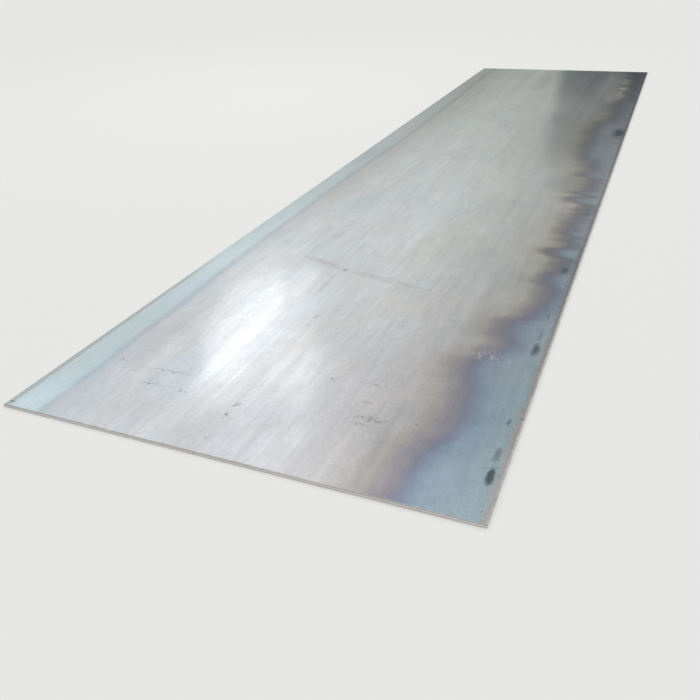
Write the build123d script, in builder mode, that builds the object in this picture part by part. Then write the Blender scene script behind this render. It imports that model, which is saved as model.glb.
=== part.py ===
from build123d import *
import os
from math import cos, radians, sin, tan

# A hot-rolled steel plate, cut to length from a levelled coil and lying flat.
# It is one rolled piece. X runs across its width, Y along its length and Z through
# its gauge. The origin is under the middle of the plate, on its lower face.

# Stock size, in mm
plate_width = 1500.0
plate_length = 6000.0
plate_gauge = 8.0

# Mill edges: the long edges as the rolls left them, never sheared. Each face turns
# over a shoulder, through this angle in degrees, into a nose that bulges a little.
shoulder_radius = 2.5
shoulder_turn = 60.0

# Sheared ends: the blade draws the face over, burnishes an upright land, and the rest
# of the gauge breaks off along a fracture that leans back by this angle in degrees.
rollover_reach = 1.6
rollover_depth = 0.8
burnished_land = 2.4
fracture_angle = 6.0

half_width = plate_width / 2
half_length = plate_length / 2
half_gauge = plate_gauge / 2

# Where the nose meets a shoulder the two arcs have one direction, so the nose's radius
# and the centres of both follow from the gauge and the shoulder.
nose_radius = shoulder_radius + (half_gauge - shoulder_radius) / cos(radians(shoulder_turn))
nose_centre = half_width - nose_radius
shoulder_centre = nose_centre + (nose_radius - shoulder_radius) * sin(radians(shoulder_turn))
nose_turn = 180.0 - 2 * shoulder_turn

# The fracture takes what the rollover and the land leave of the gauge.
land_top = half_gauge - rollover_depth
land_foot = land_top - burnished_land
fracture_run = (land_foot + half_gauge) * tan(radians(fracture_angle))

# Both outlines are drawn about the middle of the gauge, one at the trailing end and
# one at the left edge, and each is drawn out over the whole plate.
trailing_end = Plane(origin=(0, half_length, half_gauge), x_dir=(1, 0, 0), z_dir=(0, -1, 0))
left_edge = Plane(origin=(-half_width, 0, half_gauge), x_dir=(0, 1, 0), z_dir=(1, 0, 0))

with BuildPart() as steel_plate:
    # Across the width, flat faces run between two rounded mill edges.
    with BuildSketch(trailing_end) as rolled_section:
        with BuildLine():
            upper_pivot = (shoulder_centre, half_gauge - shoulder_radius)
            CenterArc(upper_pivot, shoulder_radius, 90, -shoulder_turn)
            CenterArc((nose_centre, 0), nose_radius, nose_turn / 2, -nose_turn)
            lower_pivot = (shoulder_centre, shoulder_radius - half_gauge)
            CenterArc(lower_pivot, shoulder_radius, -nose_turn / 2, -shoulder_turn)
            mirror(about=Plane.YZ)
            for face_height in (half_gauge, -half_gauge):
                Line((-shoulder_centre, face_height), (shoulder_centre, face_height))
        make_face()
    extrude(amount=plate_length)

    # Along the length, the leading end has its rollover on the upper face. The
    # trailing end is the same cut turned over, with its rollover on the lower face.
    with BuildSketch(left_edge) as cut_outline:
        with BuildLine() as upper_face_and_leading_cut:
            Line((half_length - fracture_run, half_gauge), (rollover_reach - half_length, half_gauge))
            rollover_pivot = (rollover_reach - half_length, land_top)
            EllipticalCenterArc(rollover_pivot, rollover_reach, rollover_depth, 90, arc_size=90)
            Line((-half_length, land_top), (-half_length, land_foot))
            Line((-half_length, land_foot), (fracture_run - half_length, -half_gauge))
            add(upper_face_and_leading_cut.edges(), rotation=180)
        make_face()
    extrude(amount=plate_width, mode=Mode.INTERSECT)

steel_plate.part.label = "steel_plate"

os.makedirs("parts", exist_ok=True)
export_step(steel_plate.part, "parts/steel_plate.step")
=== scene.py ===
from collections import namedtuple
from functools import partial
from math import cos, radians, sin, tan

import bpy
import numpy as np
from mathutils import Matrix, Vector


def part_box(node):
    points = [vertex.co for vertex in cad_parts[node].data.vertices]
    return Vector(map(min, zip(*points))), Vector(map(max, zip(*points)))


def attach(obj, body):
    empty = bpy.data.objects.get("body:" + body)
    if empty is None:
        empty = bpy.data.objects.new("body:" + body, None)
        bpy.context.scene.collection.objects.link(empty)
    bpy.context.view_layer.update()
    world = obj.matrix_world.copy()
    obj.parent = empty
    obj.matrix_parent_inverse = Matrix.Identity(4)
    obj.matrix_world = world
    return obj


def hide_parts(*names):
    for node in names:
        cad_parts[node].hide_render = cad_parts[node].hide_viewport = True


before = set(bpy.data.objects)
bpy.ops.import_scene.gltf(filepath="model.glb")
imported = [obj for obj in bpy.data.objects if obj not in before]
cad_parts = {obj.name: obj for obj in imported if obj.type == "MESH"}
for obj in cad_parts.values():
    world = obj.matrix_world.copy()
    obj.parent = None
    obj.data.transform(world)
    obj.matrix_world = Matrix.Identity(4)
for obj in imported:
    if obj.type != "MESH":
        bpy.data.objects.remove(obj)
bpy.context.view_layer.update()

# A hot-rolled steel plate in its mill scale, lying flat. X runs across its width, Y along
# its length and Z through its gauge, with the origin under its middle. Lengths are metres,
# and the materials' patterns are in millimetres.

bl_info = {
    "name": "Steel Plate",
    "version": (1, 0, 0),
    "blender": (4, 5, 0),
    "location": "View3D > Sidebar > Steel Plate",
    "description": "Makes a hot-rolled steel plate in its mill scale, and the stage it lies on",
    "category": "Add Mesh",
}

MM = 0.001
PLATE_LOW, PLATE_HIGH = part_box("steel_plate")
MILL_SCALE, MILL_EDGE, SHEARED_END = range(3)


def linear(hex_colour):
    """An sRGB hex colour as three linear values: the display curve undone on each channel."""
    shown = np.array([int(hex_colour[i:i + 2], 16) / 255 for i in (1, 3, 5)])
    return tuple(np.where(shown <= 0.04045, shown / 12.92, ((shown + 0.055) / 1.055) ** 2.4).tolist())


def length_property(name, description, default):
    """A property that holds a length in metres."""
    return bpy.props.FloatProperty(
        name=name, description=description, default=default, min=0.0, unit="LENGTH", precision=5
    )


def colour_property(name, description, hex_colour):
    """A property that holds a colour, with an sRGB hex colour as its default."""
    return bpy.props.FloatVectorProperty(
        name=name, description=description, default=linear(hex_colour), min=0.0, max=1.0, subtype="COLOR"
    )


class RolledPlateSizes(bpy.types.PropertyGroup):
    """Stock size and edge forms of the plate. The stock size is the frame's own."""

    width: length_property("Width", "Across the rolling direction", PLATE_HIGH[0] - PLATE_LOW[0])
    length: length_property("Length", "Along the rolling direction", PLATE_HIGH[1] - PLATE_LOW[1])
    gauge: length_property("Gauge", "Through the plate", PLATE_HIGH[2] - PLATE_LOW[2])
    shoulder_radius: length_property("Shoulder radius", "Where a face turns over into a mill edge", 2.5 * MM)
    shoulder_turn: bpy.props.FloatProperty(
        name="Shoulder turn", description="Angle that the shoulder turns through before the nose",
        default=radians(60), min=0.0, max=radians(89), subtype="ANGLE",
    )
    rollover_reach: length_property("Rollover reach", "How far in the face is drawn down", 1.6 * MM)
    rollover_depth: length_property("Rollover depth", "How far the face is drawn down at the cut", 0.8 * MM)
    burnished_land: length_property("Burnished land", "Height of the band that the blade rubbed", 2.4 * MM)
    fracture_angle: bpy.props.FloatProperty(
        name="Fracture angle", description="How far the broken part of a sheared end leans back",
        default=radians(6), min=0.0, max=radians(45), subtype="ANGLE",
    )
    edge_wander: length_property("Edge wander", "Most that the edges stray inwards", 0.5 * MM)
    face_wave: length_property("Face wave", "Most that the faces dip between the leveller's bends", 0.35 * MM)
    pitch_across: length_property("Pitch across", "Mesh spacing across the width", 12.5 * MM)
    pitch_along: length_property("Pitch along", "Mesh spacing along the length", 25 * MM)


class MillScaleFinish(bpy.types.PropertyGroup):
    """Colours of the mill scale and of the bare edges. Where there are two of a kind, the plain one
    holds at the leading end and the far one at the trailing end. The far ones are darker, partly in
    the scale itself and partly as painted shade for the dimmer reflections towards the far end."""

    grey: colour_property("Grey", "Scale over the middle of the plate", "#C5C8CB")
    far_grey: colour_property("Far grey", "Grey at the trailing end", "#BBC0BB")
    cyan: colour_property("Cyan", "Band along the left mill edge", "#BBCBD0")
    far_cyan: colour_property("Far cyan", "Cyan at the trailing end", "#A7ADAC")
    cyan_rim: colour_property("Cyan rim", "Left band's outermost strip", "#A9B0AF")
    cyan_end: colour_property("Cyan end", "Line where the left band ends", "#ACB6BE")
    far_cyan_end: colour_property("Far cyan end", "Cyan end at the trailing end", "#8D928E")
    blue: colour_property("Blue", "Band along the right mill edge", "#829299")
    far_blue: colour_property("Far blue", "Blue at the trailing end", "#78848D")
    blue_rim: colour_property("Blue rim", "Right band's outermost strip", "#8C8B8A")
    far_blue_rim: colour_property("Far blue rim", "Blue rim at the trailing end", "#535457")
    blue_end: colour_property("Blue end", "Deeper blue where the right band ends", "#727C8C")
    far_blue_end: colour_property("Far blue end", "Blue end at the trailing end", "#575E6A")
    violet: colour_property("Violet", "Temper colour next to the blue", "#737584")
    far_violet: colour_property("Far violet", "Violet at the trailing end", "#53545E")
    brown: colour_property("Brown", "Temper colour next to the violet", "#878488")
    far_brown: colour_property("Far brown", "Brown at the trailing end", "#75716B")
    straw: colour_property("Straw", "Temper colour next to the brown", "#A3A1A0")
    far_straw: colour_property("Far straw", "Straw at the trailing end", "#979791")
    smudge: colour_property("Smudge", "Oval spots of thick scale near the right edge", "#30363E")
    scuff: colour_property("Scuff", "Thin dark marks across the face", "#6E6C6A")
    # The border's colour is partly worn scale and partly painted shade of the edge where the face turns over.
    rubbed_and_painted_light: colour_property("Rubbed border", "Outermost millimetres along the front and the right", "#8E8C8A")
    edge: colour_property("Edge", "Rolled mill edge where the scale is rubbed thin", "#C6BFB9")
    land: colour_property("Land", "Burnished band of a sheared end", "#E8E4E0")
    fracture: colour_property("Fracture", "Broken band of a sheared end", "#CFCAC5")
    streak_depth: bpy.props.FloatProperty(
        name="Streak depth", description="Strength of the streaks and patches, 1 as on the real plate",
        default=1.0, min=0.0, max=3.0, subtype="FACTOR",
    )


class StageSettings(bpy.types.PropertyGroup):
    """The pale floor, the soft light and the viewpoint."""

    floor_colour: colour_property("Floor", "Colour of the floor", "#E6E6E4")
    floor_size: length_property("Floor size", "Side of the square floor", 120.0)
    lens: bpy.props.FloatProperty(
        name="Lens", description="Focal length of the camera", default=36.36, subtype="DISTANCE_CAMERA"
    )
    camera_place: bpy.props.FloatVectorProperty(
        name="Camera", description="Where the camera stands", default=(0.9853, -4.2024, 1.2072), unit="LENGTH"
    )
    camera_aim: bpy.props.FloatVectorProperty(
        name="Aim", description="Point of the plate on the camera's axis", default=(0.1685, -2.3469, 0.008),
        unit="LENGTH",
    )
    camera_roll: bpy.props.FloatProperty(
        name="Roll", description="How far the camera leans to its right", default=radians(2.698),
        subtype="ANGLE",
    )
    axis_pixel: bpy.props.FloatVectorProperty(
        name="Axis pixel", description="Where the camera's axis meets the picture of 700 by 700 pixels",
        default=(362.23, 349.42), size=2,
    )
    window_place: bpy.props.FloatVectorProperty(
        name="Window", description="Middle of the upright lamp that glints on the plate",
        default=(-2.795, 1.372, 2.424), unit="LENGTH",
    )
    window_length: length_property("Window length", "Long side of the lamp", 1.6)
    window_width: length_property("Window width", "Short side of the lamp", 0.744)
    window_turn: bpy.props.FloatVectorProperty(
        name="Window turn", description="How the lamp is turned from facing down",
        default=(0, radians(-90), 0), subtype="EULER",
    )
    window_power: bpy.props.FloatProperty(
        name="Window power", description="Power of the lamp", default=1.4, min=0.0, unit="POWER"
    )
    glow_place: bpy.props.FloatVectorProperty(
        name="Glow", description="Middle of the dim lamp round the window", default=(-2.63, 1.474, 2.408),
        unit="LENGTH",
    )
    glow_length: length_property("Glow length", "Long side of the dim lamp", 3.0)
    glow_width: length_property("Glow width", "Short side of the dim lamp", 1.1)
    glow_turn: bpy.props.FloatVectorProperty(
        name="Glow turn", description="How the dim lamp is turned from facing down",
        default=(0, 0, radians(24)), subtype="EULER",
    )
    glow_power: bpy.props.FloatProperty(
        name="Glow power", description="Power of the dim lamp", default=3.5, min=0.0, unit="POWER"
    )
    card_place: bpy.props.FloatVectorProperty(
        name="Card", description="Foot of the grey card that darkens the far right",
        default=(1.45, 11.6, 0.0), unit="LENGTH",
    )
    card_width: length_property("Card width", "Width of the card", 5.76)
    card_height: length_property("Card height", "Height of the card", 3.42)
    card_top: colour_property("Card top", "Colour of the card's upper edge", "#D8DAD8")
    card_foot: colour_property("Card foot", "Colour of the card's lower edge", "#2C3946")


# Mesh of the plate


def face_border(turns):
    """Places from -1 to 1 along a face: even steps, and a narrow strip at each end that keeps
    the edge's own shading out of the flat face."""
    even = np.linspace(-1, 1, turns + 1)
    strip = 0.12 / turns
    return np.concatenate([[-1, strip - 1], even[1:-1], [1 - strip, 1]])


def mill_half_width(height, sizes):
    """Half the width at each height: two arcs of the shoulder radius turn the faces over, and a
    wider arc between them, tangent to both, is the nose."""
    half_gauge = sizes.gauge / 2
    shoulder, turn = sizes.shoulder_radius, sizes.shoulder_turn
    nose = shoulder + (half_gauge - shoulder) / cos(turn)
    nose_centre = sizes.width / 2 - nose
    shoulder_centre = nose_centre + (nose - shoulder) * sin(turn)
    from_middle = np.abs(height - half_gauge)
    past_shoulder = np.maximum(from_middle - (half_gauge - shoulder), 0)
    on_shoulder = shoulder_centre + np.sqrt(np.maximum(shoulder**2 - past_shoulder**2, 0))
    on_nose = nose_centre + np.sqrt(nose**2 - from_middle**2)
    return np.where(from_middle > nose * cos(turn), on_shoulder, on_nose)


def cut_setback(height, sizes):
    """How far a sheared end stands back at each height: nothing on the burnished land, a
    quarter ellipse on the rollover above it, a steady lean on the fracture below it."""
    land_top = sizes.gauge - sizes.rollover_depth
    land_foot = land_top - sizes.burnished_land
    over = np.clip((height - land_top) / sizes.rollover_depth, 0, 1)
    rollover = sizes.rollover_reach * (1 - np.sqrt(1 - over**2))
    fracture = np.maximum(land_foot - height, 0) * tan(sizes.fracture_angle)
    return rollover + fracture


def ring_heights(sizes):
    """Heights of the rings round the edge: even turns of both shoulders, even steps of the nose
    and the limits of the burnished lands."""
    turn = np.linspace(0, sizes.shoulder_turn, 8)
    shoulder = sizes.gauge - sizes.shoulder_radius * (1 - np.cos(turn))
    land_top = sizes.gauge - sizes.rollover_depth
    land = np.array([land_top, land_top - sizes.burnished_land])
    nose = np.array([0.62, 0.5]) * sizes.gauge
    upper = np.concatenate([shoulder, land, nose])
    return np.unique(np.round(np.concatenate([upper, sizes.gauge - upper]), 7))


def wander(place, wavelengths, seed):
    """A smooth random line from 0 to 1: cosines of these wavelengths, each with its own phase."""
    phases = np.random.default_rng(seed).uniform(0, 2 * np.pi, len(wavelengths))
    waves = [np.cos(2 * np.pi * place / wave + phase) for wave, phase in zip(wavelengths, phases)]
    return 0.5 + 0.5 * sum(waves) / len(wavelengths)


def plate_points(a, b, height, sizes):
    """Places of points on the plate's skin. a runs from -1 to 1 across the width and b from -1 to 1
    along the length; both stretch to the section and the outline that hold at that height."""
    along = b * sizes.length / 2
    across = a * sizes.width / 2
    side_stray = np.where(a < 0, wander(along, (2.9, 1.3, 0.61), 1), wander(along, (3.4, 1.1, 0.47), 2))
    end_stray = np.where(b < 0, wander(across, (0.83, 0.37, 0.19), 3), wander(across, (0.71, 0.41, 0.23), 4))
    half = mill_half_width(height, sizes) - sizes.edge_wander * side_stray
    near = -sizes.length / 2 + cut_setback(height, sizes)
    far = sizes.length / 2 - cut_setback(sizes.gauge - height, sizes)
    x = a * half

    # The ends stray less than the sides, and both faces are flat along all four edges.
    end_wander = 0.6 * sizes.edge_wander
    y = near + (b + 1) / 2 * (far - near) - b * end_wander * end_stray
    flat_border = 40 * MM
    from_side = (1 - np.abs(a)) * sizes.width / 2
    from_end = (1 - np.abs(b)) * sizes.length / 2
    calm = np.clip(from_side / flat_border, 0, 1) * np.clip(from_end / flat_border, 0, 1)
    upper_dip = sizes.face_wave * calm * wander(along, (0.92, 0.55, 1.7), 5) * wander(across, (1.1, 0.6), 6)
    lower_dip = sizes.face_wave * calm * wander(along, (1.05, 0.48, 1.9), 7) * wander(across, (0.9, 0.7), 8)
    z = height - np.where(height > sizes.gauge / 2, upper_dip, -lower_dip)
    return np.stack(np.broadcast_arrays(x, y, z), axis=-1)


def plate_mesh(sizes):
    """The plate's closed skin as points, four-sided faces and the finish of each face.

    Rings of points go round the edge at set heights, from the lower face's border to the upper
    face's, and a grid fills each face from its border inwards. Both are one function of a place
    across, a place along and a height."""
    a_lines = face_border(round(sizes.width / sizes.pitch_across))
    b_lines = face_border(round(sizes.length / sizes.pitch_along))
    n, m = len(a_lines) - 1, len(b_lines) - 1
    heights = ring_heights(sizes)

    # The ring starts at the left near corner and runs round anticlockwise, seen from above.
    ring_i = np.concatenate([np.arange(n), np.full(m, n), np.arange(n, 0, -1), np.zeros(m, int)])
    ring_j = np.concatenate([np.zeros(n, int), np.arange(m), np.full(n, m), np.arange(m, 0, -1)])
    ring = len(ring_i)
    rings = plate_points(a_lines[ring_i][None], b_lines[ring_j][None], heights[:, None], sizes).reshape(-1, 3)

    inner_a, inner_b = np.meshgrid(a_lines[1:-1], b_lines[1:-1], indexing="ij")
    face_height = np.array([0.0, sizes.gauge])[:, None, None]
    inner = plate_points(inner_a, inner_b, face_height, sizes).reshape(-1, 3)
    points = np.concatenate([rings, inner])

    step = np.arange(ring)
    following = (step + 1) % ring
    low = np.arange(len(heights) - 1)[:, None] * ring
    walls = np.stack([low + step, low + following, low + ring + following, low + ring + step], axis=-1)
    grids = []
    for first_ring, first_inner in ((0, len(rings)), ((len(heights) - 1) * ring, len(rings) + inner_a.size)):
        index = np.empty((n + 1, m + 1), int)
        index[ring_i, ring_j] = first_ring + step
        index[1:-1, 1:-1] = first_inner + np.arange(inner_a.size).reshape(inner_a.shape)
        grids.append(np.stack([index[:-1, :-1], index[1:, :-1], index[1:, 1:], index[:-1, 1:]], axis=-1))
    lower, upper = grids[0][..., ::-1].reshape(-1, 4), grids[1].reshape(-1, 4)

    # On the walls, the finish goes by the side of the plate and the height of the face.
    middle = (heights[1:] + heights[:-1])[:, None] / 2
    at_end = (step < n) | ((step >= n + m) & (step < 2 * n + m))
    land_top = sizes.gauge - sizes.rollover_depth
    drawn_over = np.where(step < n, middle > land_top, middle < sizes.gauge - land_top)
    finish = np.where(at_end, np.where(drawn_over, MILL_SCALE, SHEARED_END), MILL_EDGE)
    faces = np.concatenate([walls.reshape(-1, 4), lower, upper])
    finishes = np.concatenate([finish.reshape(-1), np.full(len(lower) + len(upper), MILL_SCALE)])
    return points, faces, finishes


# Materials


def rgba(colour):
    """A node's four colour values from a hex colour or from a linear colour property."""
    return (*(linear(colour) if isinstance(colour, str) else colour), 1.0)


def add_node(tree, kind, inputs=(), ramp=(), curve=(), **settings):
    """Adds a node of this kind with its settings. Its inputs are given in order, or by name: each is
    a number, a hex colour or a colour property, or a node or a socket to link. A ramp's stops and a
    curve's points are given as pairs."""
    node = tree.nodes.new("ShaderNode" + kind)
    for name, value in settings.items():
        setattr(node, name, value)
    sockets = [socket for socket in node.inputs if socket.enabled]
    for key, value in inputs.items() if isinstance(inputs, dict) else enumerate(inputs):
        socket = node.inputs[key] if isinstance(key, str) else sockets[key]
        if isinstance(value, bpy.types.Node):
            value = next(output for output in value.outputs if output.enabled)
        if isinstance(value, bpy.types.NodeSocket):
            tree.links.new(value, socket)
        else:
            socket.default_value = rgba(value) if socket.type == "RGBA" else value
    if ramp:
        while len(node.color_ramp.elements) < len(ramp):
            node.color_ramp.elements.new(1.0)
        for stop, (place, colour) in zip(node.color_ramp.elements, ramp):
            stop.position = place
            stop.color = rgba(colour)
    if curve:
        points = node.mapping.curves[0].points
        while len(points) < len(curve):
            points.new(1.0, 1.0)
        for point, (place, value) in zip(points, curve):
            point.location = (place, value)
        node.mapping.update()
    return node


def new_material(name):
    """An empty node material, and a short way to add nodes to it."""
    material = bpy.data.materials.new(name)
    material.use_nodes = True
    material.node_tree.nodes.clear()
    return material, partial(add_node, material.node_tree)


Spot = namedtuple("Spot", "place from_left from_right along height")


def shaded_spot(add, sizes):
    """Where the shaded point is, in millimetres: as a vector from the corner of the left mill edge,
    the leading end and the lower face, and as its distances from both mill edges, from the leading
    end and from the lower face."""
    corner = (sizes.width / MM / 2, sizes.length / MM / 2, 0.0)
    place = add("Mapping", {
        "Vector": add("TexCoord").outputs["Object"], "Location": corner, "Scale": (1 / MM, 1 / MM, 1 / MM),
    })
    from_left, along, height = add("SeparateXYZ", (place,)).outputs
    from_right = add("Math", (sizes.width / MM, from_left), operation="SUBTRACT")
    return Spot(place, from_left, from_right, along, height)


def patches(add, spot, across, along, seed, detail=3.0, upright=1.7):
    """Noise around a half, in patches of this many millimetres across, along and up the plate. Each
    seed reads the noise at another place."""
    spread = add("Mapping", {
        "Vector": spot.place, "Location": (seed * 7.3, seed * 3.1, seed * 1.7),
        "Scale": (1 / across, 1 / along, 1 / upright),
    })
    return add("TexNoise", {"Vector": spread, "Scale": 1.0, "Detail": detail, "Roughness": 0.5})


def ragged(add, spot, distance, stray, across, along, seed, upright=1.7):
    """A distance that grows by up to this stray in patches, so that a border drawn by it is ragged."""
    noise = patches(add, spot, across, along, seed, upright=upright)
    return add("Math", (noise, stray, distance), operation="MULTIPLY_ADD")


def marks(add, spot, sizes, ovals, rim=1.2, core=0.5):
    """A mask of oval marks on the upper face, each fading from its core to its rim, which are shares
    of its half sizes. An oval is its centre and half sizes across and along, in millimetres, its
    turn in degrees and its strength. The spherical gradient is 1 in the middle and 0 at the rim."""
    mask = 0.0
    for across, along, half_across, half_along, turn, strength in ovals:
        local = add("Mapping", {
            "Vector": spot.place, "Location": (across, along, sizes.gauge / MM),
            "Rotation": (0, 0, radians(turn)),
            "Scale": (half_across * rim, half_along * rim, sizes.gauge / MM / 2 * rim),
        }, vector_type="TEXTURE")
        from_rim = add("TexGradient", (local,), gradient_type="SPHERICAL").outputs["Fac"]
        mark = add("MapRange", (from_rim, 0, 1 - core / rim, 0, strength), interpolation_type="SMOOTHSTEP")
        mask = add("Math", (mask, mark), operation="MAXIMUM")
    return mask


# The right band's course, and the line where its blue ends: place along and reach in from the right
# mill edge, in mm. The wider colours further in follow the course.
BLUE_COURSE = (
    (0, 240), (750, 195), (1150, 110), (1700, 85), (2600, 95), (3250, 175), (3800, 185), (4350, 130),
    (5000, 110), (6000, 100),
)
BLUE_LINE = (
    (0, 244), (135, 238), (255, 208), (365, 176), (472, 186), (560, 198), (648, 220), (729, 194),
    (810, 150), (848, 134), (892, 162), (958, 160), (1026, 120), (1080, 92), (1147, 80), (1242, 70),
    (1323, 92), (1363, 106), (1431, 92), (1500, 76), (1580, 66), (1757, 74), (1980, 86), (2100, 88),
    (2200, 56), (2290, 66), (2409, 76), (2545, 74), (2700, 66), (2870, 112), (3015, 147), (3106, 170),
    (3197, 208), (3318, 199), (3560, 204), (3742, 208), (3924, 198), (4015, 165), (4106, 132),
    (4227, 112), (4348, 118), (4712, 120), (4790, 62), (6000, 55),
)
# Tongues of blue that run further in from that line: place along, further reach, half width at the foot.
TONGUES = (
    (1658, 74, 84), (1894, 26, 60), (2348, 86, 80), (2464, 56, 60), (2782, 86, 96), (5014, 46, 90),
    (5318, 52, 110), (5700, 60, 60), (5930, 70, 150),
)
# The left band's line, where its cyan ends: place along and reach in from the left mill edge.
CYAN_LINE = (
    (0, 141), (300, 137), (800, 127), (1200, 113), (2500, 114), (3400, 134), (4200, 130), (5200, 109),
    (6000, 104),
)
# The furthest reach that these lines can have.
LINE_SPAN = 300.0

# Marks on the upper face: centre and half sizes across and along in mm, turn in degrees, strength.
SMUDGES = (
    (1466, 174, 12, 34, 0, 0.85), (1465, 264, 10, 34, 0, 0.42), (1463, 414, 5, 19, 0, 0.5),
    (1458, 833, 12, 40, 0, 0.72), (1458, 925, 7, 34, 0, 0.3), (1458, 1067, 6, 16, 0, 0.5),
    (1452, 1482, 14, 34, 0, 0.88), (1460, 1576, 7, 12, 0, 0.4), (1454, 2155, 12, 30, 0, 0.72),
    (1454, 2814, 9, 30, 0, 0.5), (1453, 3464, 9, 36, 0, 0.4), (1458, 3735, 48, 140, 0, 0.972),
    (1456, 4921, 14, 60, 0, 0.3), (16, 22, 5, 7, 0, 0.6), (606, 1227, 9, 14, 0, 0.36),
)
SCUFFS = (
    (183, 340, 15, 6, 0, 0.8), (264, 298, 8, 7, 0, 1.2), (378, 327, 84, 6, 1, 1), (378, 246, 42, 7, 3, 1),
    (488, 242, 18, 6, 0, 1), (308, 310, 20, 5, 0, 0.7), (420, 330, 30, 12, 0, 0.4),
    (686, 236, 9, 14, -12, 1.6), (684, 178, 9, 16, -14, 1.6), (684, 68, 6, 7, 0, 1.2),
    (1093, 300, 54, 12, 0, 1.3), (1078, 270, 46, 6, 0, 0.8), (1226, 320, 12, 7, 0, 1.4),
    (1221, 285, 10, 7, 0, 1.2), (1030, 468, 44, 6, 0, 0.8), (900, 455, 14, 8, 0, 1),
    (672, 745, 8, 10, 0, 1.4), (421, 708, 8, 14, 0, 0.8), (672, 815, 8, 22, 0, 0.8),
    (1284, 489, 9, 7, 0, 1.3), (1050, 375, 20, 5, 0, 0.7),
)
TIDEMARKS = (
    (497, 1266, 116, 20, -22, 1.3), (780, 1190, 180, 20, -12, 0.9), (588, 1100, 6, 110, 0, 1.1),
    (1091, 3700, 9, 1500, 0, 0.9), (1091, 4900, 12, 900, 0, 1.3), (1062, 4600, 6, 700, 0, 0.5),
    (1140, 4700, 10, 800, 0, 0.6),
)
# Lines that handling wore lighter. The wide lane at 516 across and 640 along lies where the glint falls and
# brightens it further: partly a worn lane, partly a painted highlight.
RUBBED_LINES_AND_GLINT = (
    (600, 480, 6, 280, 0, 2.2), (516, 640, 58, 420, 0, 1.6), (862, 100, 8, 120, 0, 1.1),
    (838, 930, 10, 200, 0, 1), (778, 380, 8, 240, 0, 0.9), (937, 100, 6, 100, 0, 1),
    (930, 890, 6, 280, 0, 0.8), (715, 330, 6, 140, 0, 0.8), (520, 620, 5, 330, 0, 1),
    (1004, 860, 6, 260, 0, 0.5), (770, 900, 10, 180, 0, 0.4), (1118, 1900, 7, 420, 0, 0.5),
    (760, 2300, 9, 500, 0, 0.4), (1110, 4700, 9, 900, 0, 1.2), (1200, 5000, 30, 1100, 0, 3.6),
    (1345, 3395, 14, 120, 0, 1),
)
# Patches that are lighter and darker than the rest: the strength is the share.
# The patch at 1030 across and 4520 along is a painted sheen: a bluish reflection drawn as lighter colour.
CLEARER = (
    (1330, -30, 500, 300, 0, 0.34), (170, 1450, 210, 620, 0, 0.09), (70, 20, 46, 130, 0, 0.06),
    (60, 1250, 50, 330, 0, 0.05), (1350, 310, 40, 70, 0, 0.2), (1350, 1400, 44, 90, 0, 0.2),
    (900, 800, 40, 90, 0, 0.05), (450, 4750, 90, 1400, 0, 0.13), (1030, 4520, 190, 480, 0, 0.2),
    (1305, 4850, 60, 260, 0, 0.5), (1260, 5400, 110, 650, 0, 0.5), (1358, 4940, 34, 130, 0, 0.9),
    (1360, 5212, 44, 74, 0, 1.8), (1350, 5460, 36, 130, 0, 0.9), (1480, 5150, 9, 700, 0, 0.25),
    (1350, 5020, 26, 80, 0, 1.7), (1222, 5700, 28, 170, 0, 0.95),
)
# The patches at the far right corner, from 5000 mm along and past 1360 mm across, are partly dark scale and
# partly painted shade for the dark low-angle reflections there.
DUSKIER = (
    (750, 500, 36, 80, 0, 0.05), (60, 470, 90, 330, 0, 0.09), (50, 2850, 70, 260, 0, 0.07),
    (1270, 950, 70, 260, 0, 0.07), (1425, 2200, 50, 120, 0, 0.28), (1420, 2560, 60, 280, 0, 0.3),
    (1300, 2600, 130, 170, 0, 0.33), (1405, 3000, 40, 110, 0, 0.34), (1180, 3450, 110, 420, 0, 0.06),
    (1150, 5750, 24, 300, 0, 0.2), (1089, 5500, 16, 600, 0, 0.2), (700, 5600, 110, 500, 0, 0.24),
    (1425, 5000, 40, 90, 0, 0.2), (1432, 5450, 42, 170, 0, 0.25), (1365, 5700, 60, 40, 0, 0.3),
    (1425, 5800, 70, 200, 0, 0.5),
)
PALE_MOTTLE = ((1318, 742, 60, 44, 0, 0.8), (1400, 730, 50, 30, 0, 0.4), (1461, 3395, 24, 60, 0, 0.8))

# Lanes of more and less gloss that the rolls left: place as a share of the width, and roughness.
GLOSS_LANES = (
    (0.0, 0.095), (0.22, 0.093), (0.30, 0.073), (0.347, 0.069), (0.358, 0.129), (0.45, 0.125),
    (0.52, 0.097), (1.0, 0.095),
)

# Streaks and patches of the scale: size across and along in mm, and how much they lighten and darken
# it. The first two are drawn coarser than real roll marks and scale grain, so that they show.
STREAKS = (
    (5, 190, 0.022), (11, 15, 0.055), (20, 130, 0.035), (24, 520, 0.045), (36, 300, 0.035),
    (85, 1300, 0.045), (240, 420, 0.060), (75, 120, 0.04), (46, 75, 0.035),
)


def band_line(add, along, points, length):
    """How far in from its mill edge a band's line is at each place along the plate."""
    share = add("Math", (along, length), operation="DIVIDE")
    curve = [(place / length, reach / LINE_SPAN) for place, reach in points]
    reach = add("FloatCurve", {"Value": share}, curve=curve)
    return add("Math", (reach, LINE_SPAN), operation="MULTIPLY")


def past_cyan_line(add, spot, length):
    """Millimetres past the left band's line, which strays a little."""
    line = band_line(add, spot.along, CYAN_LINE, length)
    past = add("Math", (spot.from_left, line), operation="SUBTRACT")
    return ragged(add, spot, past, 24.0, 400, 90, 6)


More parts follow.
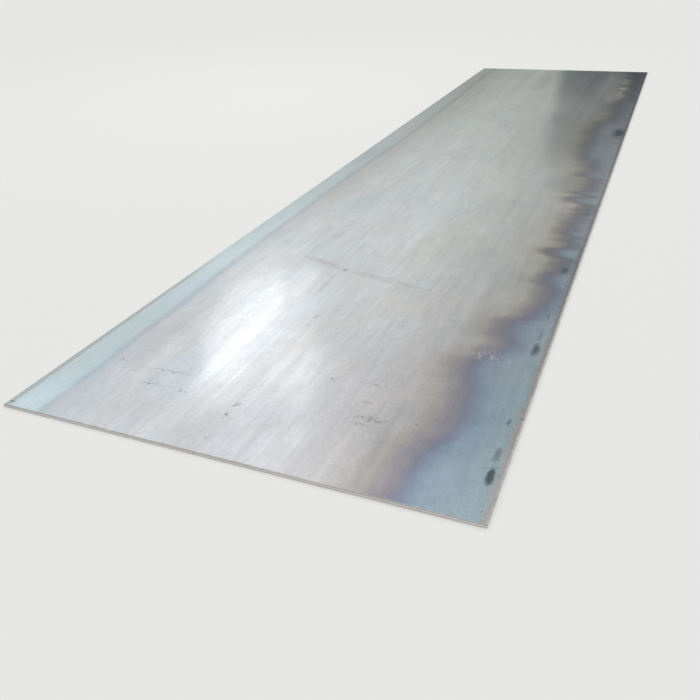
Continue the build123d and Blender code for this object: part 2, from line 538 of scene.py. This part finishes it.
def past_blue_line(add, spot, length):
    """Millimetres past the right band's line, with its tongues. Cross streaks fray the line, more so
    past the first metre. Further in, all that gives way to the band's smooth course."""
    shake = 50.0
    shaken = ragged(add, spot, spot.along, shake, 60, 44, 7)
    shaken = add("Math", (shaken, shake / 2), operation="SUBTRACT")
    fray_depth = add("MapRange", (spot.along, 900, 2600, 30, 130))
    fray = add("Math", (patches(add, spot, 240, 60, 8, detail=4), 0.5), operation="SUBTRACT")
    line = band_line(add, shaken, BLUE_LINE, length)
    line = add("Math", (fray, fray_depth, line), operation="MULTIPLY_ADD")
    for middle, reach, half_foot in TONGUES:
        off = add("Math", (shaken, float(middle)), operation="SUBTRACT")
        off = add("Math", (off,), operation="ABSOLUTE")
        tongue = add("MapRange", (off, half_foot, 0, 0, reach), interpolation_type="SMOOTHSTEP")
        line = add("Math", (line, tongue), operation="ADD")
    course = band_line(add, spot.along, BLUE_COURSE, length)
    past_course = add("Math", (spot.from_right, course), operation="SUBTRACT")
    further_in = add("MapRange", (past_course, 50, 210), interpolation_type="SMOOTHSTEP")
    line = add("Mix", (further_in, line, course))
    return add("Math", (spot.from_right, line), operation="SUBTRACT")


def temper_colours(add, past_line, far_share, stops):
    """Colours across a band's line. A stop is a place in mm past the line, its colour at the leading
    end and its colour at the trailing end."""
    first, last = stops[0][0], stops[-1][0]
    share = add("MapRange", (past_line, first, last))
    near, far = (
        add("ValToRGB", (share,), ramp=[((stop[0] - first) / (last - first), stop[end]) for stop in stops])
        for end in (1, 2)
    )
    return add("Mix", (far_share, near, far), data_type="RGBA")


def cooling_colours(add, spot, sizes, finish):
    """The grey of the middle, and the two bands along the mill edges with their temper colours."""
    length = sizes.length / MM
    # Towards the trailing end the colours darken to the far ones: partly the scale's own tone, partly painted
    # shade for the dimmer reflections there.
    towards_end = add("MapRange", (spot.along, 600, length - 800))
    base = add("Mix", (towards_end, finish.grey, finish.far_grey), data_type="RGBA")

    past_cyan = past_cyan_line(add, spot, length)
    left = temper_colours(add, past_cyan, towards_end, (
        (-120, finish.cyan, finish.far_cyan), (-14, finish.cyan, finish.far_cyan),
        (12, finish.cyan_end, finish.far_cyan_end), (34, "#B8BDC2", "#A9AAA5"), (80, "#BEC1C4", "#B1B1AB"),
        (240, finish.grey, finish.far_grey),
    ))
    inside_left = add("MapRange", (past_cyan, 140, 240))
    base = add("Mix", (inside_left, left, base), data_type="RGBA")

    past_blue = past_blue_line(add, spot, length)
    past_first_metre = add("MapRange", (spot.along, 500, 1500))
    right = temper_colours(add, past_blue, past_first_metre, (
        (-140, finish.blue, finish.far_blue), (-75, "#7E8F9B", "#6D7A84"),
        (-28, finish.blue_end, finish.far_blue_end), (-6, finish.violet, finish.far_violet),
        (12, "#7C7B83", "#5A5960"), (26, "#807E84", "#65635F"), (46, finish.brown, finish.far_brown),
        (85, "#97948F", "#8F8D85"), (130, finish.straw, finish.far_straw), (200, "#AFAFB0", "#9EA19E"),
        (320, "#BBBCBF", "#A6A9A6"), (420, "#C5C6C8", "#ADB1AD"), (760, finish.grey, "#BEC3C2"),
    ))
    inside_right = add("MapRange", (past_blue, 480, 760))
    base = add("Mix", (inside_right, right, base), data_type="RGBA")

    # The outermost strip of both bands is greyer, and ragged on its inner side.
    distance = ragged(add, spot, spot.from_left, 16.0, 14, 26, 10)
    strip = add("MapRange", (distance, 37, 25))
    fading = add("MapRange", (spot.along, 950, 1200, 1, 0.15))
    strip = add("Math", (strip, fading), operation="MULTIPLY")
    base = add("Mix", (strip, base, finish.cyan_rim), data_type="RGBA")
    distance = ragged(add, spot, spot.from_right, 34.0, 14, 26, 11)
    strip = add("MapRange", (distance, 46, 24, 0, 0.85), interpolation_type="SMOOTHSTEP")
    rim = add("Mix", (past_first_metre, finish.blue_rim, finish.far_blue_rim), data_type="RGBA")
    return add("Mix", (strip, base, rim), data_type="RGBA")


def worn_borders(add, spot, finish, base):
    """A mottled grey fringe along the leading cut, and the outermost few millimetres along it and
    along the right mill edge in one dull grey: partly scale worn off by handling, partly painted shade
    where the face turns over at the edge."""
    distance = ragged(add, spot, spot.along, 22.0, 16, 12, 12)
    fringe = add("MapRange", (distance, 19, 11, 0, 0.5))
    base = add("Mix", (fringe, base, "#A6A5A9"), data_type="RGBA")
    # Darker border strip: worn scale, and painted shade of the turned-over edge.
    to_border = add("Math", (spot.from_right, spot.along), operation="MINIMUM")
    distance = ragged(add, spot, to_border, 5.0, 30, 30, 16)
    rubbed_and_painted_light = add("MapRange", (distance, 8.5, 5.5, 0, 0.8))
    return add("Mix", (rubbed_and_painted_light, base, finish.rubbed_and_painted_light), data_type="RGBA")


def specks(add, spot, sizes, finish, base):
    """Dark specks in the outer part of the blue band, and pale ones in a few patches."""
    dark = add("MapRange", (patches(add, spot, 8, 14, 13, detail=2), 0.62, 0.74, 0, 0.5))
    outer = add("MapRange", (spot.from_right, 110, 30))
    dark = add("Math", (dark, outer), operation="MULTIPLY")
    base = add("Mix", (dark, base, finish.smudge), data_type="RGBA")
    pale = add("MapRange", (patches(add, spot, 9, 11, 14, detail=2), 0.46, 0.62, 0, 0.6))
    where = marks(add, spot, sizes, PALE_MOTTLE, rim=1.3, core=0.2)
    pale = add("Math", (pale, where), operation="MULTIPLY")
    return add("Mix", (pale, base, "#B4ACB0"), data_type="RGBA")


def shaken_spot(add, spot):
    """The spot with its place shaken by some millimetres, in a noise of 22 mm, so that no mark's
    outline is a true oval."""
    shake = add("TexNoise", {"Vector": spot.place, "Scale": 0.045, "Detail": 2.0}).outputs["Color"]
    shake = add("VectorMath", (shake, (0.5, 0.5, 0.5)), operation="SUBTRACT")
    place = add("VectorMath", (shake, (16, 26, 0), spot.place), operation="MULTIPLY_ADD")
    return spot._replace(place=place)


def face_marks(add, spot, shaken, sizes, finish, base):
    """Smudges of thick scale, broken dark scuffs and faint brown tidemarks. Also gives the smudges'
    mask."""
    smudges = marks(add, shaken, sizes, SMUDGES, rim=1.35, core=0.45)
    base = add("Mix", (smudges, base, finish.smudge), data_type="RGBA")
    broken = add("MapRange", (patches(add, spot, 10, 8, 9), 0.44, 0.62, 0, 0.6))
    scuffs = marks(add, shaken, sizes, SCUFFS, rim=1.4, core=0.4)
    scuffs = add("Math", (scuffs, broken), operation="MULTIPLY")
    base = add("Mix", (scuffs, base, finish.scuff), data_type="RGBA")
    faint = add("MapRange", (patches(add, spot, 60, 40, 15), 0.3, 0.6, 0.1, 0.32))
    tides = marks(add, shaken, sizes, TIDEMARKS, rim=1.6, core=0.2)
    tides = add("Math", (tides, faint), operation="MULTIPLY")
    return add("Mix", (tides, base, "#8C7F76"), data_type="RGBA"), smudges


def rolled_streaks(add, spot, shaken, sizes, finish, base):
    """Streaks and patches that lighten and darken the colour, and tint it a little."""
    # The worn lines lighten the colour; their wide lane in the glint is partly a painted highlight.
    rubbed_and_painted_light = marks(add, spot, sizes, RUBBED_LINES_AND_GLINT, rim=1.6, core=0.1)
    # Lighter patches; one of them, far along the middle right, is a painted sheen.
    clearer = marks(add, shaken, sizes, CLEARER, rim=1.4, core=0.2)
    # Darker patches; those at the far right corner are partly painted shade.
    duskier = marks(add, shaken, sizes, DUSKIER, rim=1.4, core=0.2)
    shade = add("Math", (rubbed_and_painted_light, 0.06, 1.0), operation="MULTIPLY_ADD")
    shade = add("Math", (shade, clearer), operation="ADD")
    shade = add("Math", (shade, duskier), operation="SUBTRACT")
    streaks = 1.0
    for seed, (across, along, depth) in enumerate(STREAKS, start=20):
        depth = depth * finish.streak_depth
        part = add("MapRange", (patches(add, spot, across, along, seed), 0.25, 0.75, 1 - depth, 1 + depth))
        streaks = add("Math", (streaks, part), operation="MULTIPLY")

    # The cyan band is half as streaky as the rest.
    share = add("MapRange", (spot.from_left, 60, 220, 0.5, 1.0))
    streaks = add("Mix", (share, 1.0, streaks))
    shade = add("Math", (shade, streaks), operation="MULTIPLY")
    tint = add("MapRange", (patches(add, spot, 130, 320, 30), 0.3, 0.7))
    tint = add("Mix", (tint, "#F9FCFF", "#FFFBF9"), data_type="RGBA")
    base = add("VectorMath", (base, shade), operation="MULTIPLY")
    return add("VectorMath", (base, tint), operation="MULTIPLY")


def rolled_gloss(add, spot, sizes):
    """Roughness in lanes, with hairlines and threads along the plate."""
    share = add("Math", (spot.from_left, sizes.width / MM), operation="DIVIDE")
    gloss = add("FloatCurve", {"Value": share}, curve=GLOSS_LANES)
    gloss = add("Math", (patches(add, spot, 6, 300, 2), 0.04, gloss), operation="MULTIPLY_ADD")
    return add("Math", (patches(add, spot, 26, 500, 3), 0.07, gloss), operation="MULTIPLY_ADD")


def mill_scale(sizes, finish):
    """Hot-rolled mild steel in its mill scale: a thin tight oxide left by the rolls, which shines
    like a dull grey metal. It has cooled faster along the mill edges, so they have a pale cyan
    band on the left and a slate-blue one on the right, with temper colours where they end: violet,
    then brown, then straw. Soft streaks run the way the plate was rolled."""
    material, add = new_material("hot_rolled_mill_scale")
    spot = shaded_spot(add, sizes)
    shaken = shaken_spot(add, spot)
    base = cooling_colours(add, spot, sizes, finish)
    base = worn_borders(add, spot, finish, base)
    base = specks(add, spot, sizes, finish, base)
    base, smudges = face_marks(add, spot, shaken, sizes, finish, base)
    base = rolled_streaks(add, spot, shaken, sizes, finish, base)

    # The scale's skin is slightly pebbled. The thickest smudge is sooty, with hardly any shine.
    fine, wide = patches(add, spot, 26, 46, 4), patches(add, spot, 60, 260, 5, detail=2)
    pebbles = add("Math", (fine, wide), operation="ADD")
    skin = add("Bump", {"Strength": 1.0, "Distance": 0.16 * MM, "Height": pebbles})
    metal = add("MapRange", (smudges, 0.88, 0.98, 0.85, 0))
    specular = add("MapRange", (smudges, 0.88, 0.98, 0.5, 0))
    shader = add("BsdfPrincipled", {
        "Base Color": base, "Metallic": metal, "Roughness": rolled_gloss(add, spot, sizes),
        "Specular IOR Level": specular, "Normal": skin,
    })
    add("OutputMaterial", {"Surface": shader})
    return material


def mill_edge(sizes, finish):
    """The rounded mill edge, never cut: its scale is worn thin by handling, so it is paler and
    warmer than the faces, with darker remnants and short scuffs that run along it."""
    material, add = new_material("rolled_mill_edge")
    spot = shaded_spot(add, sizes)
    remnants = add("MapRange", (patches(add, spot, 20, 34, 1, detail=4, upright=2.4), 0.42, 0.62, 0.0, 0.7))
    base = add("Mix", (remnants, finish.edge, "#8E8B89"), data_type="RGBA")
    scuffs = add("MapRange", (patches(add, spot, 20, 16, 2, upright=0.8), 0.56, 0.66, 0.0, 0.6))
    base = add("Mix", (scuffs, base, "#E4DFD9"), data_type="RGBA")
    roughness = add("MapRange", (patches(add, spot, 20, 60, 3, upright=1.2), 0.3, 0.7, 0.3, 0.55))
    dents = patches(add, spot, 20, 18, 4, detail=2, upright=3)
    dents = add("Bump", {"Strength": 1.0, "Distance": 0.1 * MM, "Height": dents})
    shader = add("BsdfPrincipled", {
        "Base Color": base, "Metallic": 0.6, "Roughness": roughness, "Normal": dents,
    })
    add("OutputMaterial", {"Surface": shader})
    return material


def sheared_end(sizes, finish):
    """Bare steel of a guillotined end: under the rollover the blade burnished a bright land, with
    upright scratches, and below it the steel broke off in a dull grainy band."""
    material, add = new_material("guillotined_steel")
    spot = shaded_spot(add, sizes)
    land_foot = (sizes.rollover_depth + sizes.burnished_land) / MM

    # The trailing end is the leading one turned over, so its depth is counted from the lower face.
    far_end = add("Math", (spot.along, sizes.length / MM / 2), operation="GREATER_THAN")
    from_top = add("Math", (sizes.gauge / MM, spot.height), operation="SUBTRACT")
    depth = add("Mix", (far_end, from_top, spot.height))
    depth = ragged(add, spot, depth, 1.4, 22, 22, 1, upright=40)
    broken = add("MapRange", (depth, land_foot + 0.5, land_foot + 0.95))

    # Scratches are under a tenth of a millimetre apart on the real cut, and drawn at 3 mm.
    scratches = add("MapRange", (patches(add, spot, 3, 3, 2, upright=14), 0.3, 0.7, 0.86, 1.06))
    land = add("VectorMath", {0: finish.land, 1: scratches}, operation="MULTIPLY")
    grain = add("MapRange", (patches(add, spot, 2.2, 2.2, 3, detail=4, upright=1.4), 0.3, 0.7, 0.78, 1.1))
    fracture = add("VectorMath", {0: finish.fracture, 1: grain}, operation="MULTIPLY")
    base = add("Mix", (broken, land, fracture), data_type="RGBA")
    rust = add("MapRange", (patches(add, spot, 130, 130, 4, detail=4, upright=5), 0.54, 0.72, 0.0, 0.25))
    base = add("Mix", (rust, base, "#94786A"), data_type="RGBA")
    roughness = add("MapRange", (broken, 0, 1, 0.32, 0.6))
    relief = add("Mix", (broken, scratches, grain))
    bump = add("Bump", {"Strength": 0.8, "Distance": 0.08 * MM, "Height": relief})
    shader = add("BsdfPrincipled", {
        "Base Color": base, "Metallic": 0.55, "Roughness": roughness, "Normal": bump,
    })
    add("OutputMaterial", {"Surface": shader})
    return material


# Plate


class STEELPLATE_OT_roll_plate(bpy.types.Operator):
    """Make the rolled and sheared plate with its mill scale"""

    bl_idname = "steel_plate.roll_plate"
    bl_label = "Roll plate"

    def execute(self, context):
        sizes, finish = context.scene.rolled_plate_sizes, context.scene.mill_scale_finish
        points, faces, finishes = plate_mesh(sizes)
        mesh = bpy.data.meshes.new("rolled_plate")
        mesh.from_pydata(points.tolist(), [], faces.tolist())
        mesh.polygons.foreach_set("material_index", finishes.astype("int32"))
        mesh.polygons.foreach_set("use_smooth", np.ones(len(faces), bool))
        mesh.set_sharp_from_angle(angle=radians(28))
        for material in (mill_scale, mill_edge, sheared_end):
            mesh.materials.append(material(sizes, finish))
        if mesh.validate():
            raise RuntimeError("the plate's mesh has faces that Blender had to correct")
        plate = bpy.data.objects.new("rolled_plate", mesh)
        context.collection.objects.link(plate)
        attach(plate, "root")
        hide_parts("steel_plate")
        return {"FINISHED"}


# Stage


# The soft light from the horizon to straight up, by the sine of the height above the horizon.
SKY = (
    (0.0, "#848783"), (0.14, "#8E918D"), (0.19, "#A8ABA8"), (0.24, "#C5C8C5"), (0.30, "#D9DBDA"),
    (0.37, "#E6E7E7"), (0.57, "#F6F7F7"), (0.8, "#ECECED"), (1.0, "#E3E4E4"),
)
SKY_STRENGTH = 1.25


def studio_world():
    """Soft light from all round that dims towards the horizon."""
    world = bpy.data.worlds.new("studio")
    world.use_nodes = True
    world.node_tree.nodes.clear()
    add = partial(add_node, world.node_tree)
    up = add("SeparateXYZ", (add("TexCoord").outputs["Generated"],)).outputs["Z"]
    sky = add("ValToRGB", (up,), ramp=SKY)
    add("OutputWorld", {"Surface": add("Background", (sky, SKY_STRENGTH))})
    return world


def lay_floor(context, stage):
    """A matt floor, far larger than the view."""
    half = stage.floor_size / 2
    mesh = bpy.data.meshes.new("floor")
    corners = [(-half, -half, 0), (half, -half, 0), (half, half, 0), (-half, half, 0)]
    mesh.from_pydata(corners, [], [(0, 1, 2, 3)])
    material, add = new_material("matt_floor_paint")
    add("OutputMaterial", {"Surface": add("BsdfDiffuse", (stage.floor_colour,))})
    mesh.materials.append(material)
    floor = bpy.data.objects.new("floor", mesh)
    context.collection.objects.link(floor)


def hang_lamp(context, name, place, size, turn, power):
    """A rectangular lamp that faces down until it is turned, with its second side along the plate."""
    light = bpy.data.lights.new(name, "AREA")
    light.shape, light.size, light.size_y, light.energy = "RECTANGLE", *size, power
    lamp = bpy.data.objects.new(name, light)
    context.collection.objects.link(lamp)
    lamp.location = place
    lamp.rotation_euler = turn
    lamp.visible_camera = False


def stand_card(context, stage):
    """A grey card beyond the far right corner, darker towards its foot. Only reflections see it."""
    middle, back, foot = stage.card_place
    left, right, top = middle - stage.card_width / 2, middle + stage.card_width / 2, foot + stage.card_height
    mesh = bpy.data.meshes.new("card")
    corners = [(left, back, foot), (right, back, foot), (right, back, top), (left, back, top)]
    mesh.from_pydata(corners, [], [(0, 1, 2, 3)])
    material, add = new_material("matt_grey_card")
    across, _, height = add("SeparateXYZ", (add("TexCoord").outputs["Object"],)).outputs

    # The lowest quarter has the foot's colour, and the left half metre pales to the top's.
    upper = add("MapRange", (height, 0.25 * top, top))
    beside = add("MapRange", (across, left + 0.5, left), interpolation_type="SMOOTHSTEP")
    share = add("Math", (upper, beside), operation="MAXIMUM")
    colour = add("Mix", (share, stage.card_foot, stage.card_top), data_type="RGBA")
    add("OutputMaterial", {"Surface": add("BsdfDiffuse", (colour,))})
    mesh.materials.append(material)
    card = bpy.data.objects.new("card", mesh)
    context.collection.objects.link(card)
    card.visible_camera = card.visible_diffuse = card.visible_shadow = False


def stand_camera(context, stage):
    """The camera looks at its aim and leans by its roll, with its axis off the picture's middle by
    the few pixels that the framing needs."""
    picture = 700
    middle = picture / 2
    data = bpy.data.cameras.new("camera")
    data.lens = stage.lens
    data.shift_x = (middle - stage.axis_pixel[0]) / picture
    data.shift_y = (stage.axis_pixel[1] - middle) / picture
    camera = bpy.data.objects.new("camera", data)
    context.collection.objects.link(camera)
    place, aim = Vector(stage.camera_place), Vector(stage.camera_aim)
    forward = (aim - place).normalized()
    level = forward.cross(Vector((0, 0, 1))).normalized()
    upright = level.cross(forward)
    right = level * cos(stage.camera_roll) - upright * sin(stage.camera_roll)
    up = level * sin(stage.camera_roll) + upright * cos(stage.camera_roll)
    camera.matrix_world = Matrix.Translation(place) @ Matrix((right, up, -forward)).transposed().to_4x4()
    context.scene.camera = camera


class STEELPLATE_OT_set_stage(bpy.types.Operator):
    """Set the floor, the light and the camera"""

    bl_idname = "steel_plate.set_stage"
    bl_label = "Set stage"

    def execute(self, context):
        stage = context.scene.plate_stage
        lay_floor(context, stage)
        window, glow = (stage.window_width, stage.window_length), (stage.glow_width, stage.glow_length)
        hang_lamp(context, "window", stage.window_place, window, stage.window_turn, stage.window_power)
        hang_lamp(context, "glow", stage.glow_place, glow, stage.glow_turn, stage.glow_power)
        stand_card(context, stage)
        stand_camera(context, stage)
        context.scene.world = studio_world()
        context.scene.view_settings.view_transform = "Standard"
        return {"FINISHED"}


# Panel and registration


class STEELPLATE_PT_sidebar(bpy.types.Panel):
    """Lists the sizes, the colours and the two operators"""

    bl_idname = "STEELPLATE_PT_sidebar"
    bl_label = "Steel Plate"
    bl_space_type = "VIEW_3D"
    bl_region_type = "UI"
    bl_category = "Steel Plate"

    def draw(self, context):
        scene = context.scene
        for group in (scene.rolled_plate_sizes, scene.mill_scale_finish, scene.plate_stage):
            box = self.layout.box()
            for name in group.bl_rna.properties.keys():
                if name not in {"rna_type", "name"}:
                    box.prop(group, name)
        for operator in OPERATORS:
            self.layout.operator(operator.bl_idname)


OPERATORS = (STEELPLATE_OT_roll_plate, STEELPLATE_OT_set_stage)
CLASSES = (RolledPlateSizes, MillScaleFinish, StageSettings, *OPERATORS, STEELPLATE_PT_sidebar)


def register():
    """Adds the classes, and their settings to every scene."""
    for cls in CLASSES:
        bpy.utils.register_class(cls)
    bpy.types.Scene.rolled_plate_sizes = bpy.props.PointerProperty(type=RolledPlateSizes)
    bpy.types.Scene.mill_scale_finish = bpy.props.PointerProperty(type=MillScaleFinish)
    bpy.types.Scene.plate_stage = bpy.props.PointerProperty(type=StageSettings)


def unregister():
    """Takes away what register added."""
    del bpy.types.Scene.plate_stage
    del bpy.types.Scene.mill_scale_finish
    del bpy.types.Scene.rolled_plate_sizes
    for cls in reversed(CLASSES):
        bpy.utils.unregister_class(cls)


def main():
    """Makes the plate and its stage."""
    register()
    bpy.ops.steel_plate.roll_plate()
    bpy.ops.steel_plate.set_stage()
    bpy.context.view_layer.update()


if __name__ == "__main__":
    main()
